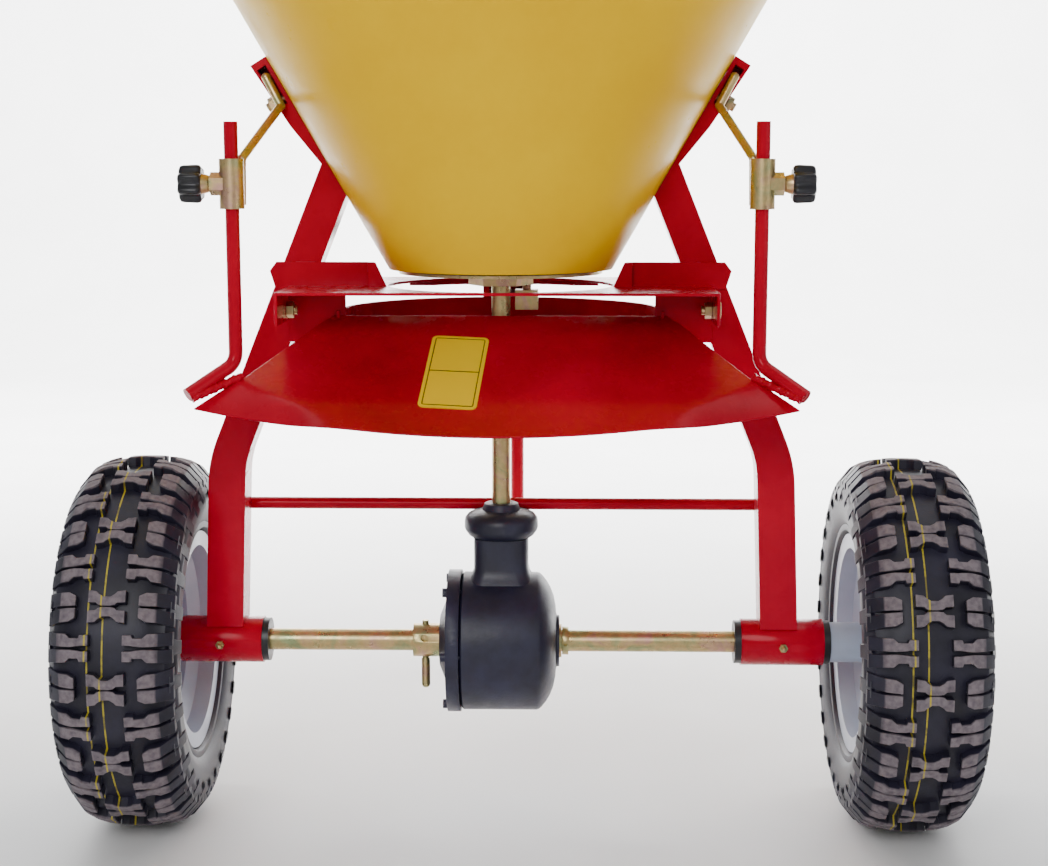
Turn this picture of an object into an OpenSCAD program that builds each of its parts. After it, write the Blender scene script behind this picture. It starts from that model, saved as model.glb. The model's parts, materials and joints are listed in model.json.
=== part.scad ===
// Tow-behind broadcast spreader, drawn in millimetres.
// +X is to the right seen from the rear, +Y is the direction of travel, +Z is up.
// Every module is drawn about a point under the axle, between the two legs, with heights
// counted from a level axle_z below the axle. place() then moves it to the centre of the outline
// of the whole machine and sets the tyres on the ground.

/* [Wheels] */
// Outer radius of a tyre, which is also the height of the axle above the ground
tyre_r = 172; // [168:1:174]
// Width of a tyre across its sidewalls
tyre_w = 112; // [104:1:112]
// Distance of the driven wheel's centre plane from the machine's centre plane
left_wheel_x = 330; // [330:1:340]
// Distance of the free wheel's centre plane from the machine's centre plane
right_wheel_x = 370; // [368:1:376]
// Diameter of the axle
axle_d = 20; // [18:1:20]

/* [Hopper] */
// Height of the hopper's underside
hopper_z = 506; // [506:1:508]
// Radius of the hopper at its underside
hopper_base_r = 101; // [100:1:102]
// Radius of the hopper at its rim
hopper_top_r = 313; // [300:1:320]
// Slope of the hopper's wall, as radius gained per height
hopper_slope = 0.57; // [0.56:0.01:0.58]
// Thickness of the hopper's wall
hopper_wall = 1.5; // [1.5:0.5:2.5]

/* [Frame] */
// Depth of a leg along Y
leg_depth = 35; // [30:1:35]
// Wall thickness of the square tubes
tube_wall = 2.5; // [2:0.5:3]
// Thickness of the folded sheets
sheet = 2.5; // [2:0.5:3]
// Distance from the axle to the centre of the hitch hole
hitch_y = 740; // [720:5:760]
// Height of the hitch
hitch_z = 325; // [315:1:335]
// Radius of the hole for the hitch pin
hitch_r = 8.5; // [6.5:0.5:9.5]

/* [Spinner] */
// Radius of the spinner disc
disc_r = 122; // [116:1:123]
// Height of the disc's underside
disc_z = 382; // [380:1:384]
// Diameter of the spinner shaft
shaft_d = 17; // [16:0.5:17]
// Number of vanes on the disc
vane_count = 4; // [3:1:6]

/* [Deflector] */
// Height of the hood's inner edge
hood_z = 466; // [464:1:468]
// Slope of the hood, in degrees
hood_tilt = 30; // [29:0.5:30]
// Diameter of the deflector's rods
rod_d = 12; // [11:0.5:12]

/* [Gears] */
// Teeth of the crown gear on the axle
crown_teeth = 36; // [36:12:36]
// Teeth of the pinion on the spinner shaft
pinion_teeth = 12; // [12:12:12]
// Size of one tooth: the gears' module
gear_m = 2.5; // [2.5:0.1:2.5]

/* [Hidden] */
$fn = 64;

red = [0.80, 0.07, 0.14];
yellow = [0.86, 0.72, 0.02];
zinc = [0.76, 0.66, 0.48];
black = [0.10, 0.10, 0.13];
rubber = [0.13, 0.12, 0.16];
silver = [0.72, 0.73, 0.75];
steel = [0.55, 0.55, 0.57];

// Small distances used all over
fit = 0.06;    // radial clearance of a running fit
skin = 1;      // how far a cutting shape passes through a face
axle_r = axle_d / 2;
shaft_r = shaft_d / 2;
axle_z = 159;
lift = tyre_r - axle_z;

// Outline of the machine, which sets where place() puts it
hopper_rim_r = 6;
hopper_h = (hopper_top_r - hopper_base_r) / hopper_slope;
hopper_top_z = hopper_z + hopper_h;
hopper_reach = hopper_top_r + hopper_rim_r;
clevis_nose = 22;
mid_x = (right_wheel_x - left_wheel_x) / 2;
mid_y = (hitch_y + clevis_nose - hopper_reach) / 2;

// Legs: the lower leg is upright, the upper leg leans in, and the arm leans out along the hopper
leg_foot = [272.8, axle_z + 16];
leg_bend = [267, 331];
leg_kink = [159, 600];
arm_knee = [186, 632];
arm_end = [221, 685];
arm_tip = [200, 698];
arm_bolt_z = 660;
leg_bend_r = 120;
lower_w = 34;
upper_w = 33;
arm_web = 5;

// Outlets in the hopper's base, and how far the shutter turns to line up with them
outlet_angles = [45, 90, 135];
outlet_r = 11;
shutter_turn = 22.5;

// Axle housings
housing_r = 21.5;
housing_in = 222;
housing_out = 298;
bush_flange = 6;
bush_r = 15;

// Platform
platform_z = 488.5;
platform_x = 190;
platform_y = 106;
platform_hole_r = 102;
upstand_x = 207;
upstand_h = 24;
wing_x = 139;
wing_drop = 48;
flange_drop = 26;
bracket_bolt = [-50, 472];

// Guard
guard_r = 147;
guard_bottom = 372;
guard_top = 475;

// Deflector
rod_x = 224;
rod_y = -104;
rod_r = rod_d / 2;
rod_top = 635;
sleeve_bottom = 562;
sleeve_h = 42;
sleeve_r = 10.5;
hood_inner = [150, -22];
hood_side = [216, -104];
hood_tip = [249, -131];
hood_rear_y = -172;
knob_z = sleeve_bottom + sleeve_h / 2;

// Gearbox, along the axle
barrel_r = 64;
barrel_half = 37;
cavity_r = 57;
screw_ring_r = barrel_r - 3.5;
sleeve_out_r = 15.5;
cap_z = 258;

// Hitch and stand
bar_w = 40;
bar_start = [152, 464];
bar_angle = atan2(bar_start.y - hitch_z, hitch_y - 30 - bar_start.x);
stand_y = 560;
stand_r = 8;
stand_top = 430;
stand_bar_z = hitch_z + (hitch_y - 30 - stand_y) * tan(bar_angle);

// ---------- helpers ----------

module place() {
    translate([-mid_x, -mid_y, lift]) children();
}

// Turns a shape drawn about Z so that its axis lies along X at the axle's height
module along_x(x = 0, z = axle_z, y = 0) {
    translate([x, y, z]) rotate([0, 90, 0]) children();
}

module along_y(x = 0, y = 0, z = 0) {
    translate([x, y, z]) rotate([-90, 0, 0]) children();
}

// Extrudes an outline drawn in X and Z, centred on Y
module slab_y(depth, y = 0) {
    translate([0, y + depth / 2, 0]) rotate([90, 0, 0]) linear_extrude(depth) children();
}

module both_sides() {
    children();
    mirror([1, 0, 0]) children();
}

module tube(r_out, r_in, h) {
    difference() {
        cylinder(r = r_out, h = h);
        translate([0, 0, -skin]) cylinder(r = r_in, h = h + 2 * skin);
    }
}

module hex(flats, h) {
    cylinder(d = flats / cos(30), h = h, $fn = 6);
}

// A round bar that follows a list of points, with round joints
module bar_path(points, r) {
    for (i = [0 : len(points) - 2]) {
        v = points[i + 1] - points[i];
        translate(points[i])
            rotate([0, acos(v.z / norm(v)), atan2(v.y, v.x)])
                cylinder(r = r, h = norm(v));
    }
    for (i = [1 : len(points) - 2]) translate(points[i]) sphere(r = r + 0.2);
}

function unit(v) = v / norm(v);

// Points of an arc of radius r that rounds the corner b of the path a, b, c
function fillet(a, b, c, r, n = 8) =
    let (
        u = unit(a - b),
        w = unit(c - b),
        half = acos(u * w) / 2,
        o = b + unit(u + w) * (r / sin(half)),
        s = b + u * (r / tan(half)) - o,
        e = b + w * (r / tan(half)) - o,
        start = atan2(s.y, s.x),
        turn = ((atan2(e.y, e.x) - start + 540) % 360) - 180
    )
    [for (i = [0 : n]) o + r * [cos(start + turn * i / n), sin(start + turn * i / n)]];

// ---------- frame ----------

// Outline of the lower and upper leg in X and Z, with all sides moved in by inset
function leg_outline(inset) =
    let (
        foot_out = leg_foot - [inset, -inset],
        foot_in = leg_foot - [lower_w - inset, -inset],
        bend_out = leg_bend - [inset, 0],
        bend_in = leg_bend - [lower_w - inset, 0],
        kink_out = leg_kink - [inset * 1.1, inset],
        kink_in = leg_kink - [upper_w - inset * 1.1, inset]
    )
    concat(
        [foot_out],
        fillet(foot_out, bend_out, kink_out, leg_bend_r),
        [kink_out, kink_in],
        fillet(kink_in, bend_in, foot_in, leg_bend_r - lower_w),
        [foot_in]
    );

// Space that the hopper's cone takes, with a gap round it
module hopper_space(gap) {
    translate([0, 0, hopper_z])
        cylinder(r1 = hopper_base_r + gap, r2 = hopper_top_r + gap, h = hopper_h);
}

// Bracket that follows the hopper's wall. It is open at the rear and holds the rod guide.
module arm() {
    difference() {
        slab_y(leg_depth)
            polygon([leg_kink - [0, 1], arm_knee, arm_end, arm_tip, leg_kink - [upper_w, 1]]);
        slab_y(leg_depth - arm_web + skin, -(arm_web + skin) / 2)
            polygon([
                [hopper_r(652) + 4, 652],
                [195.8, 652],
                [215, 681],
                [hopper_r(686) + 4, 686]
            ]);
        along_arm_bolt() cylinder(r = 4.3, h = 60, center = true);
    }
}

// Puts a shape at the arm's bolt, with Z square to the hopper's wall
module along_arm_bolt() {
    translate([hopper_r(arm_bolt_z), 0, arm_bolt_z])
        rotate([0, 90 + atan(hopper_slope), 0]) children();
}

module leg() {
    difference() {
        union() {
            slab_y(leg_depth) polygon(leg_outline(0));
            arm();
        }
        slab_y(leg_depth - 2 * tube_wall) polygon(leg_outline(tube_wall));
        along_x(200) cylinder(r = housing_r, h = 100);
        hopper_space(0.3);
    }
}

module left_leg() {
    color(red) place() mirror([1, 0, 0]) leg();
}

module right_leg() {
    color(red) place() leg();
}

module axle_housing() {
    difference() {
        along_x(housing_in) tube(housing_r, bush_r, housing_out - housing_in);
        translate([260, -bush_r + 2, axle_z]) rotate([90, 0, 0]) cylinder(r = 3, h = 20);
    }
}

module left_axle_housing() {
    color(red) place() mirror([1, 0, 0]) axle_housing();
}

module right_axle_housing() {
    color(red) place() axle_housing();
}

// Two flanged plastic bushes in each housing
module axle_bush() {
    difference() {
        union() {
            cylinder(r = bush_r, h = 24);
            translate([0, 0, -bush_flange]) cylinder(r = housing_r - 1.5, h = bush_flange);
        }
        translate([0, 0, -bush_flange - skin])
            cylinder(r = axle_r + fit, h = 24 + bush_flange + 2 * skin);
    }
}

module axle_bushes() {
    color(black) place() both_sides() {
        along_x(housing_in) axle_bush();
        along_x(housing_out) mirror([0, 0, 1]) axle_bush();
    }
}

module grease_nipples() {
    color(zinc) place() both_sides() translate([260, -bush_r - 1.2, axle_z]) rotate([90, 0, 0]) {
        cylinder(r = 2.95, h = 7);
        translate([0, 0, 5.5]) hex(7, 3);
        translate([0, 0, 8.5]) cylinder(r1 = 2.4, r2 = 1.8, h = 3);
        translate([0, 0, 12]) sphere(r = 2.4);
    }
}

module cross_rod() {
    color(red) place() along_x(-262, 284.5, leg_depth / 2 + 5.5) cylinder(r = 5.5, h = 524);
}

// Folded sheet that joins the legs: a flat plate with the hopper's opening, an upstand with
// chamfered ends, two hanging wings that hold the guard, and a side flange at each end
module platform() {
    rear = leg_depth / 2;
    color(red) place() difference() {
        union() {
            translate([-platform_x, -platform_y, platform_z])
                cube([2 * platform_x, 2 * platform_y, sheet]);
            both_sides() {
                slab_y(sheet, -rear - sheet / 2) polygon([
                    [113, platform_z],
                    [platform_x + 12, platform_z],
                    [upstand_x, platform_z + upstand_h - 8],
                    [upstand_x - 6, platform_z + upstand_h],
                    [113, platform_z + upstand_h]
                ]);
                translate([wing_x, -rear - sheet, platform_z - wing_drop])
                    cube([platform_x - wing_x, sheet, wing_drop + 1]);
                translate([platform_x - sheet, -platform_y, platform_z - flange_drop])
                    cube([sheet, platform_y - rear, flange_drop + 1]);
            }
        }
        translate([0, 0, platform_z - skin])
            cylinder(r = platform_hole_r, h = sheet + 2 * skin);
        both_sides() {
            translate([165, -rear, platform_z - skin]) cube([60, 2 * rear, sheet + 2 * skin]);
            along_x(platform_x - 10, bracket_bolt.y, bracket_bolt.x) cylinder(r = 4.2, h = 20);
        }
    }
}

// Half-round wall ahead of the disc, welded to the platform's wings
module front_guard() {
    rear = leg_depth / 2;
    color(red) place() difference() {
        translate([0, 0, guard_bottom]) union() {
            tube(guard_r, guard_r - sheet, guard_top - guard_bottom);
            both_sides() translate([guard_r - sheet, -rear, 0])
                cube([sheet, rear, guard_top - guard_bottom]);
        }
        translate([-guard_r + sheet, -guard_r - skin, guard_bottom - skin])
            cube([2 * (guard_r - sheet), guard_r + skin, guard_top - guard_bottom + 2 * skin]);
        translate([-guard_r - skin, -guard_r - 20, guard_bottom - skin])
            cube([2 * guard_r + 4, guard_r + 20 - rear, guard_top - guard_bottom + 2 * skin]);
    }
}

// Bolt through each side flange of the platform, with its nut inside
module bracket_bolts() {
    color(zinc) place() both_sides() {
        along_x(platform_x - 12, bracket_bolt.y, bracket_bolt.x) cylinder(r = 4, h = 14);
        along_x(platform_x, bracket_bolt.y, bracket_bolt.x) hex(13, 5.3);
        along_x(platform_x - sheet - 6.5, bracket_bolt.y, bracket_bolt.x) difference() {
            hex(13, 6.5);
            translate([0, 0, -skin]) cylinder(r = 4, h = 8.5);
        }
    }
}

// Square tube that runs forward and down to the hitch
module drawbar() {
    length = hitch_y - 30 - bar_start.x;
    rise = length * tan(bar_angle);
    half = bar_w / 2;
    color(red) place() difference() {
        translate([half, 0, 0]) rotate([90, 0, -90]) linear_extrude(bar_w) mirror([1, 0])
            polygon([
                [bar_start.x, bar_start.y - half],
                [bar_start.x + length, hitch_z - half],
                [bar_start.x + length, hitch_z + half],
                [bar_start.x, bar_start.y + half]
            ]);
        translate([half - 3, 0, 0]) rotate([90, 0, -90]) linear_extrude(bar_w - 6) mirror([1, 0])
            polygon([
                [bar_start.x - skin, bar_start.y - half + 3],
                [bar_start.x + length + skin, bar_start.y - rise - half + 3],
                [bar_start.x + length + skin, bar_start.y - rise + half - 3],
                [bar_start.x - skin, bar_start.y + half - 3]
            ]);
        translate([0, stand_y, hitch_z]) cylinder(r = 13, h = 120);
    }
}

// Tie plate under the platform's front edge, with two gussets down the drawbar's sides
module drawbar_strap() {
    thick = 4;
    start = bar_start.x;
    color(red) place() {
        difference() {
            translate([0, 0, platform_z - thick]) linear_extrude(thick)
                polygon([[-90, 80], [90, 80], [24, start + 56], [-24, start + 56]]);
            translate([0, 0, platform_z - thick - skin])
                cylinder(r = platform_hole_r + 2, h = thick + 2 * skin);
            for (x = [-74, 74]) translate([x, 91, platform_z - 10]) cylinder(r = 4.2, h = 20);
        }
        both_sides() translate([bar_w / 2 + 3, 0, 0]) rotate([90, 0, -90]) linear_extrude(3)
            mirror([1, 0]) polygon([
                [start, platform_z - thick],
                [start, bar_start.y - 8],
                [start + 56, bar_start.y - 22],
                [start + 56, platform_z - thick]
            ]);
    }
}

// Two plates with a gap for the tractor's tongue and a hole for the hitch pin
module hitch_clevis() {
    color(red) place() {
        for (z = [hitch_z + bar_w / 2, hitch_z - bar_w / 2 - 8]) translate([0, 0, z]) difference() {
            union() {
                translate([-26, hitch_y - 29, 0]) cube([52, 29, 8]);
                translate([0, hitch_y, 0]) cylinder(r = clevis_nose, h = 8);
            }
            translate([0, hitch_y, -skin]) cylinder(r = hitch_r, h = 8 + 2 * skin);
        }
        for (x = [-26, 20]) translate([x, hitch_y - 76, hitch_z - bar_w / 2]) cube([6, 60, bar_w]);
    }
}

// Sleeve through the drawbar that guides the parking stand
module stand_socket() {
    color(red) place() difference() {
        translate([0, stand_y, stand_bar_z - 42]) tube(13, stand_r + fit, 84);
        along_x(0, stand_bar_z - 34, stand_y) cylinder(r = 4 + fit, h = 30);
    }
}

// ---------- hopper ----------

function hopper_r(z) = hopper_base_r + (z - hopper_z) * hopper_slope;

// Section of the hopper's wall, base and rolled rim, as radius and height. The rim's arc
// starts and ends where the wall's two faces meet it.
module hopper_section() {
    wall = hopper_wall * 1.15;
    inner_base_r = hopper_base_r - wall + hopper_wall * hopper_slope;
    rim_start = atan(hopper_slope) - 150;
    polygon(concat(
        [[18, hopper_z], [hopper_base_r, hopper_z]],
        [for (i = [0 : 18]) let (a = rim_start + 345 * i / 18) [
            hopper_top_r + hopper_rim_r * cos(a),
            hopper_top_z + hopper_rim_r * sin(a)
        ]],
        [[inner_base_r, hopper_z + hopper_wall], [18, hopper_z + hopper_wall]]
    ));
}

// Cone with a flat base and three outlets ahead of the shaft
module hopper() {
    color(yellow) place() difference() {
        rotate_extrude($fn = 96) hopper_section();
        for (a = outlet_angles) rotate(a) translate([62, 0, hopper_z - skin])
            cylinder(r = outlet_r, h = 10);
        both_sides() along_arm_bolt() cylinder(r = 4.3, h = 30, center = true);
    }
}

// Bolt through each arm and the hopper's wall
module hopper_bolts() {
    color(zinc) place() both_sides() along_arm_bolt() {
        translate([0, 0, -3]) cylinder(r = 4, h = 26);
        translate([0, 0, 14.4]) hex(13, 5.3);
        translate([0, 0, -6.5]) cylinder(r = 7, h = 4.6);
    }
}

// Flanged bearing that carries the spinner shaft and clamps the hopper's base
module shaft_bearing() {
    color(steel) place() difference() {
        union() {
            translate([0, 0, 492]) cylinder(r = 17.8, h = 16.6);
            translate([0, 0, hopper_z + hopper_wall]) cylinder(r = 30, h = 4);
        }
        translate([0, 0, 480]) cylinder(r = shaft_r + fit, h = 60);
    }
}

module bearing_nut() {
    color(zinc) place() translate([0, 0, 491]) difference() {
        hex(51, 10.5);
        translate([0, 0, 1]) cylinder(r = 17.8, h = 12);
        translate([0, 0, -skin]) cylinder(r = shaft_r + 1, h = 12);
    }
}

// ---------- deflector guides and knobs ----------

// Zinc sleeve with a clamp boss, hung from the arm's end by a bent rod
module rod_guide() {
    difference() {
        union() {
            translate([rod_x, rod_y, sleeve_bottom]) cylinder(r = sleeve_r, h = sleeve_h);
            along_x(rod_x, knob_z, rod_y) hex(17, 18);
            bar_path([
                [206.3, leg_depth / 2 - arm_web, 675],
                [206.3, -23, 675],
                [193, -27, 650],
                [rod_x - 6.6, rod_y + 13, 604],
                [rod_x - 6.2, rod_y + 11.2, sleeve_bottom + 3]
            ], 3.8);
        }
        translate([rod_x, rod_y, sleeve_bottom - skin]) cylinder(r = rod_r + fit, h = sleeve_h + 2);
        along_x(rod_x, knob_z, rod_y) cylinder(r = 4 + fit, h = 30);
    }
}

module left_rod_guide() {
    color(zinc) place() mirror([1, 0, 0]) rod_guide();
}

module right_rod_guide() {
    color(zinc) place() rod_guide();
}

// Lobed knob on a clamp screw
module clamp_knob() {
    along_x(rod_x, knob_z, rod_y) {
        translate([0, 0, rod_r + 0.3]) cylinder(r = 4, h = 22);
        translate([0, 0, 20]) cylinder(r1 = 6.5, r2 = 9, h = 6);
        translate([0, 0, 25]) difference() {
            cylinder(r = 16.5, h = 19);
            for (a = [0 : 60 : 300]) rotate(a) translate([20.5, 0, -skin]) cylinder(r = 7, h = 22);
        }
    }
}

module left_clamp_knob() {
    color(black) place() mirror([1, 0, 0]) clamp_knob();
}

module right_clamp_knob() {
    color(black) place() clamp_knob();
}

// ---------- deflector ----------

// Puts a shape drawn flat, with its origin at the hood's inner edge, on the hood's slope
module on_hood() {
    translate([0, hood_inner.y, hood_z]) rotate([hood_tilt, 0, 0]) children();
}

// Outline of the hood in its own plane: straight inner edge, slanted sides, arched rear edge
function hood_outline() =
    let (
        k = 1 / cos(hood_tilt),
        side = [hood_side.x, (hood_side.y - hood_inner.y) * k],
        tip = [hood_tip.x, (hood_tip.y - hood_inner.y) * k],
        rear = (hood_rear_y - hood_inner.y) * k,
        sag = tip.y - rear,
        r = (tip.x * tip.x + sag * sag) / (2 * sag),
        half = asin(tip.x / r)
    )
    concat(
        [[hood_inner.x, 0], side],
        [for (i = [0 : 16]) [
            r * sin(half - half * i / 8),
            rear + r - r * cos(half - half * i / 8)
        ]],
        [[-side.x, side.y], [-hood_inner.x, 0]]
    );

module hood() {
    color(red) place() on_hood() translate([0, 0, -2]) linear_extrude(2) polygon(hood_outline());
}

// Upright rod with its lower end bent along the hood's side
module deflector_rod() {
    bar_path([
        [rod_x, rod_y, rod_top],
        [rod_x, rod_y, 433],
        [hood_tip.x + 7, hood_tip.y + 2, 408]
    ], rod_r);
}

module left_deflector_rod() {
    color(red) place() mirror([1, 0, 0]) deflector_rod();
}

module right_deflector_rod() {
    color(red) place() deflector_rod();
}

module hood_label() {
    color(yellow) place() on_hood() translate([-37, -87, 0.05]) rotate(-4.3)
        translate([-25, -51, 0]) cube([50, 102, 0.4]);
}

// ---------- gearbox ----------

// Moulded barrel with a conical right end, a neck for the spinner shaft and a hollow for the gears
module gearbox_housing() {
    color(black) place() difference() {
        union() {
            along_x(-barrel_half) {
                translate([0, 0, 3]) cylinder(r = barrel_r, h = 2 * barrel_half - 3);
                cylinder(r = barrel_r - 3, h = 3);
                translate([0, 0, 2 * barrel_half])
                    cylinder(r1 = barrel_r - 4, r2 = 25, h = 12);
                translate([0, 0, 2 * barrel_half + 12]) cylinder(r = 24, h = 5);
            }
            translate([-25, -22, axle_z + 30]) cube([50, 44, cap_z - axle_z - 30]);
        }
        along_x(-barrel_half - skin) cylinder(r = cavity_r, h = 2 * barrel_half - 4);
        along_x(0) cylinder(r = 20, h = 80);
        translate([0, 0, axle_z + 40]) cylinder(r = 14, h = 80);
        along_x(-barrel_half - skin) for (a = [30 : 60 : 330])
            rotate(a) translate([screw_ring_r, 0, 0]) cylinder(r = 2, h = 14);
    }
}

// Side cover with a conical boss round the gear sleeve
module gearbox_cover() {
    color(black) place() difference() {
        along_x(-barrel_half - 12) {
            cylinder(r = barrel_r + 2, h = 12);
            translate([0, 0, -8]) cylinder(r1 = 24, r2 = 44, h = 8);
        }
        along_x(-barrel_half - 9) cylinder(r = 50, h = 12);
        along_x(-90) cylinder(r = 20, h = 60);
        along_x(-barrel_half - 20) for (a = [30 : 60 : 330])
            rotate(a) translate([screw_ring_r, 0, 0]) cylinder(r = 2.6, h = 30);
    }
}

module cover_screws() {
    color(black) place() along_x(-barrel_half - 12) for (a = [30 : 60 : 330])
        rotate(a) translate([screw_ring_r, 0, 0]) {
            cylinder(r = 2, h = 22);
            translate([0, 0, -4]) cylinder(r = 4.2, h = 4);
        }
}

// Flared dust cap round the spinner shaft, with a collar on top
module gearbox_cap() {
    color(black) place() translate([0, 0, cap_z]) difference() {
        union() {
            cylinder(r1 = 29, r2 = 34, h = 9);
            translate([0, 0, 9]) cylinder(r = 34, h = 9);
            translate([0, 0, 18]) cylinder(r1 = 34, r2 = 30, h = 2);
            translate([0, 0, 20]) cylinder(r1 = 17.5, r2 = 15, h = 12);
        }
        translate([0, 0, -skin]) cylinder(r = shaft_r + fit, h = 40);
    }
}

// Bushes for the gear sleeve at each side, and for the spinner shaft in the neck
module gearbox_bushes() {
    color(zinc) place() {
        along_x(-barrel_half - 20) tube(20, sleeve_out_r + fit, 18);
        along_x(barrel_half + 4) tube(20, sleeve_out_r + fit, 13);
        translate([0, 0, 226]) tube(14, shaft_r + fit, 30);
    }
}

// ---------- axle and gears ----------

module axle() {
    color(zinc) place() difference() {
        along_x(-left_wheel_x - 52) cylinder(r = axle_r, h = left_wheel_x + right_wheel_x + 104);
        translate([-71, 0, axle_z - 40]) cylinder(r = 3 + fit, h = 80);
        for (x = [-left_wheel_x - 30, right_wheel_x + 46])
            translate([x, 0, axle_z - 40]) cylinder(r = 3, h = 80);
    }
}

// Sleeve that carries the crown gear and is pinned to the axle outside the gearbox
module gear_sleeve() {
    color(zinc) place() difference() {
        along_x(-82) tube(sleeve_out_r, axle_r + fit, 138);
        translate([-71, 0, axle_z - 40]) cylinder(r = 3 + fit, h = 80);
        translate([-71, -sleeve_out_r + 4, axle_z + 5]) rotate([90, 0, 0])
            cylinder(r = 3.2, h = 10);
    }
}

crown_pitch_r = gear_m * crown_teeth / 2;
pinion_pitch_r = gear_m * pinion_teeth / 2;
root_x = -pinion_pitch_r - 1.25 * gear_m;
tooth_h = 2.25 * gear_m;

// Face gear: its teeth stand out along X and run along the radius
module crown_gear() {
    step = 360 / crown_teeth;
    color(steel) place() along_x(root_x) difference() {
        union() {
            translate([0, 0, -7]) cylinder(r = crown_pitch_r + 4, h = 7);
            translate([0, 0, -12]) cylinder(r = 26, h = 6);
            for (i = [0 : crown_teeth - 1]) rotate(step * (i + 0.5))
                translate([crown_pitch_r - 4, 0, -0.1]) rotate([90, 0, 90]) linear_extrude(8)
                    polygon([[-2.1, 0], [2.1, 0], [0.9, tooth_h], [-0.9, tooth_h]]);
        }
        translate([0, 0, -20]) cylinder(r = sleeve_out_r, h = 40);
    }
}

module pinion() {
    step = 360 / pinion_teeth;
    root = pinion_pitch_r - 1.25 * gear_m;
    tip = pinion_pitch_r + gear_m;
    color(steel) place() translate([0, 0, axle_z + crown_pitch_r - 4]) difference() {
        union() {
            cylinder(r = root, h = 14);
            for (i = [0 : pinion_teeth - 1]) rotate(step * i) linear_extrude(8)
                polygon([[root - 0.5, -2], [tip, -0.8], [tip, 0.8], [root - 0.5, 2]]);
        }
        translate([0, 0, -skin]) cylinder(r = shaft_r, h = 20);
    }
}

// Collar that keeps the gearbox in place on the axle
module axle_collar() {
    color(zinc) place() difference() {
        along_x(56.5) tube(13, axle_r, 6);
        translate([59.5, -8, axle_z]) rotate([90, 0, 0]) cylinder(r = 2, h = 10);
    }
}

// Pins that hold the hubs: one through the driven hub, one beyond the free hub with its washer
module axle_pins() {
    color(zinc) place() {
        translate([-left_wheel_x - 30, 0, axle_z - 24]) cylinder(r = 3, h = 48);
        translate([right_wheel_x + 46, 0, axle_z - 18]) cylinder(r = 3, h = 36);
        along_x(right_wheel_x + 40) tube(17, axle_r, 2.5);
    }
}

// Pin through the sleeve and axle: pulling it lets the wheels turn without the spinner
module drive_pin() {
    color(zinc) place() translate([-71, 0, axle_z]) {
        translate([0, 0, -17]) cylinder(r = 3, h = 36);
        translate([0, 0, -42]) cylinder(r = 4, h = 25);
        translate([0, 0, -42]) sphere(r = 4);
    }
}

// ---------- wheels ----------

tyre_mid_r = 134;
bead_r = 90;
rim_flange_r = 101;

// One side of a superellipse, used for the tyre's section
function bulge(half_w, height, centre_r, t) = [
    half_w * sign(cos(t)) * pow(abs(cos(t)), 0.7),
    centre_r + height * sign(sin(t)) * pow(abs(sin(t)), 0.75)
];

function tyre_section(half_w, height, foot) = concat(
    [[foot.x, foot.y]],
    [for (t = [-25 : 10 : 205]) bulge(half_w, height, tyre_mid_r, t)],
    [[-foot.x, foot.y]]
);

// Tyre drawn about Z and laid along X: the outer section less the air space and the rim's flanges
module tyre(x) {
    outer = tyre_section(tyre_w / 2, tyre_r - tyre_mid_r, [42, bead_r]);
    inner = tyre_section(tyre_w / 2 - 8, tyre_r - tyre_mid_r - 10, [31, bead_r]);
    along_x(x) rotate_extrude($fn = 96) difference() {
        polygon([for (p = outer) [p.y, p.x]]);
        polygon([for (p = inner) [p.y, p.x]]);
        translate([bead_r - 8, -28]) square([20, 56]);
        for (side = [-1, 1]) translate([bead_r - 8, side * 46.4 - 4])
            square([rim_flange_r + 8.4 - bead_r, 8]);
    }
}

module left_tyre() {
    color(rubber) place() tyre(-left_wheel_x);
}

module right_tyre() {
    color(rubber) place() tyre(right_wheel_x);
}

// Rim barrel: two flanges, two seats and a drop centre
module rim(x, side) {
    half = [
        [rim_flange_r, 46.5], [87.5, 45.2], [85, 30], [71.5, 20.5]
    ];
    back = [[74, 22], [87.5, 30], [89.5, 42.6], [rim_flange_r, 44]];
    difference() {
        along_x(x) rotate_extrude($fn = 96) polygon(concat(
            half,
            [for (i = [3 : -1 : 0]) [half[i].x, -half[i].y]],
            [for (i = [3 : -1 : 0]) [back[i].x, -back[i].y]],
            back
        ));
        valve_hole(x - valve_x * side);
    }
}

// Stepped disc welded into the drop centre. side is 1 when its hollow face looks towards -X.
module rim_disc(x, side) {
    section = [
        [71.45, -8], [64, -8], [56, 0], [38, 0], [31, 6], [18.56, 6],
        [18.56, 3], [29.5, 3], [36.5, -3], [54.5, -3], [62.5, -11], [71.45, -11]
    ];
    along_x(x) rotate_extrude($fn = 96) polygon([for (p = section) [p.x, p.y * side]]);
}

module left_rim() {
    color(silver) place() rim(-left_wheel_x, -1);
}

module right_rim() {
    color(silver) place() rim(right_wheel_x, 1);
}

module left_rim_disc() {
    color(silver) place() rim_disc(-left_wheel_x, -1);
}

module right_rim_disc() {
    color(silver) place() rim_disc(right_wheel_x, 1);
}

// The valve stands in the drop centre beside the disc's hollow face
valve_x = 16;

module valve_hole(x) {
    translate([x, -40, axle_z + 40]) rotate([45, 0, 0]) cylinder(r = 3.9, h = 40);
}

module valve(x, side) {
    translate([x - valve_x * side, -52.5, axle_z + 52.5]) rotate([45, 0, 0]) {
        translate([0, 0, -16]) cylinder(r1 = 2.6, r2 = 3.8, h = 13);
        translate([0, 0, -3]) cylinder(r = 3.8, h = 3.4);
    }
    translate([x - valve_x * side, -42.4, axle_z + 42.4])
        rotate([0, -side * 90, 0]) cylinder(r = 2.4, h = 24);
}

module left_valve() {
    color(black) place() valve(-left_wheel_x, -1);
}

module right_valve() {
    color(black) place() valve(right_wheel_x, 1);
}

hub_r = 18.5;
hub_start = housing_out + bush_flange + 0.5;

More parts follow.
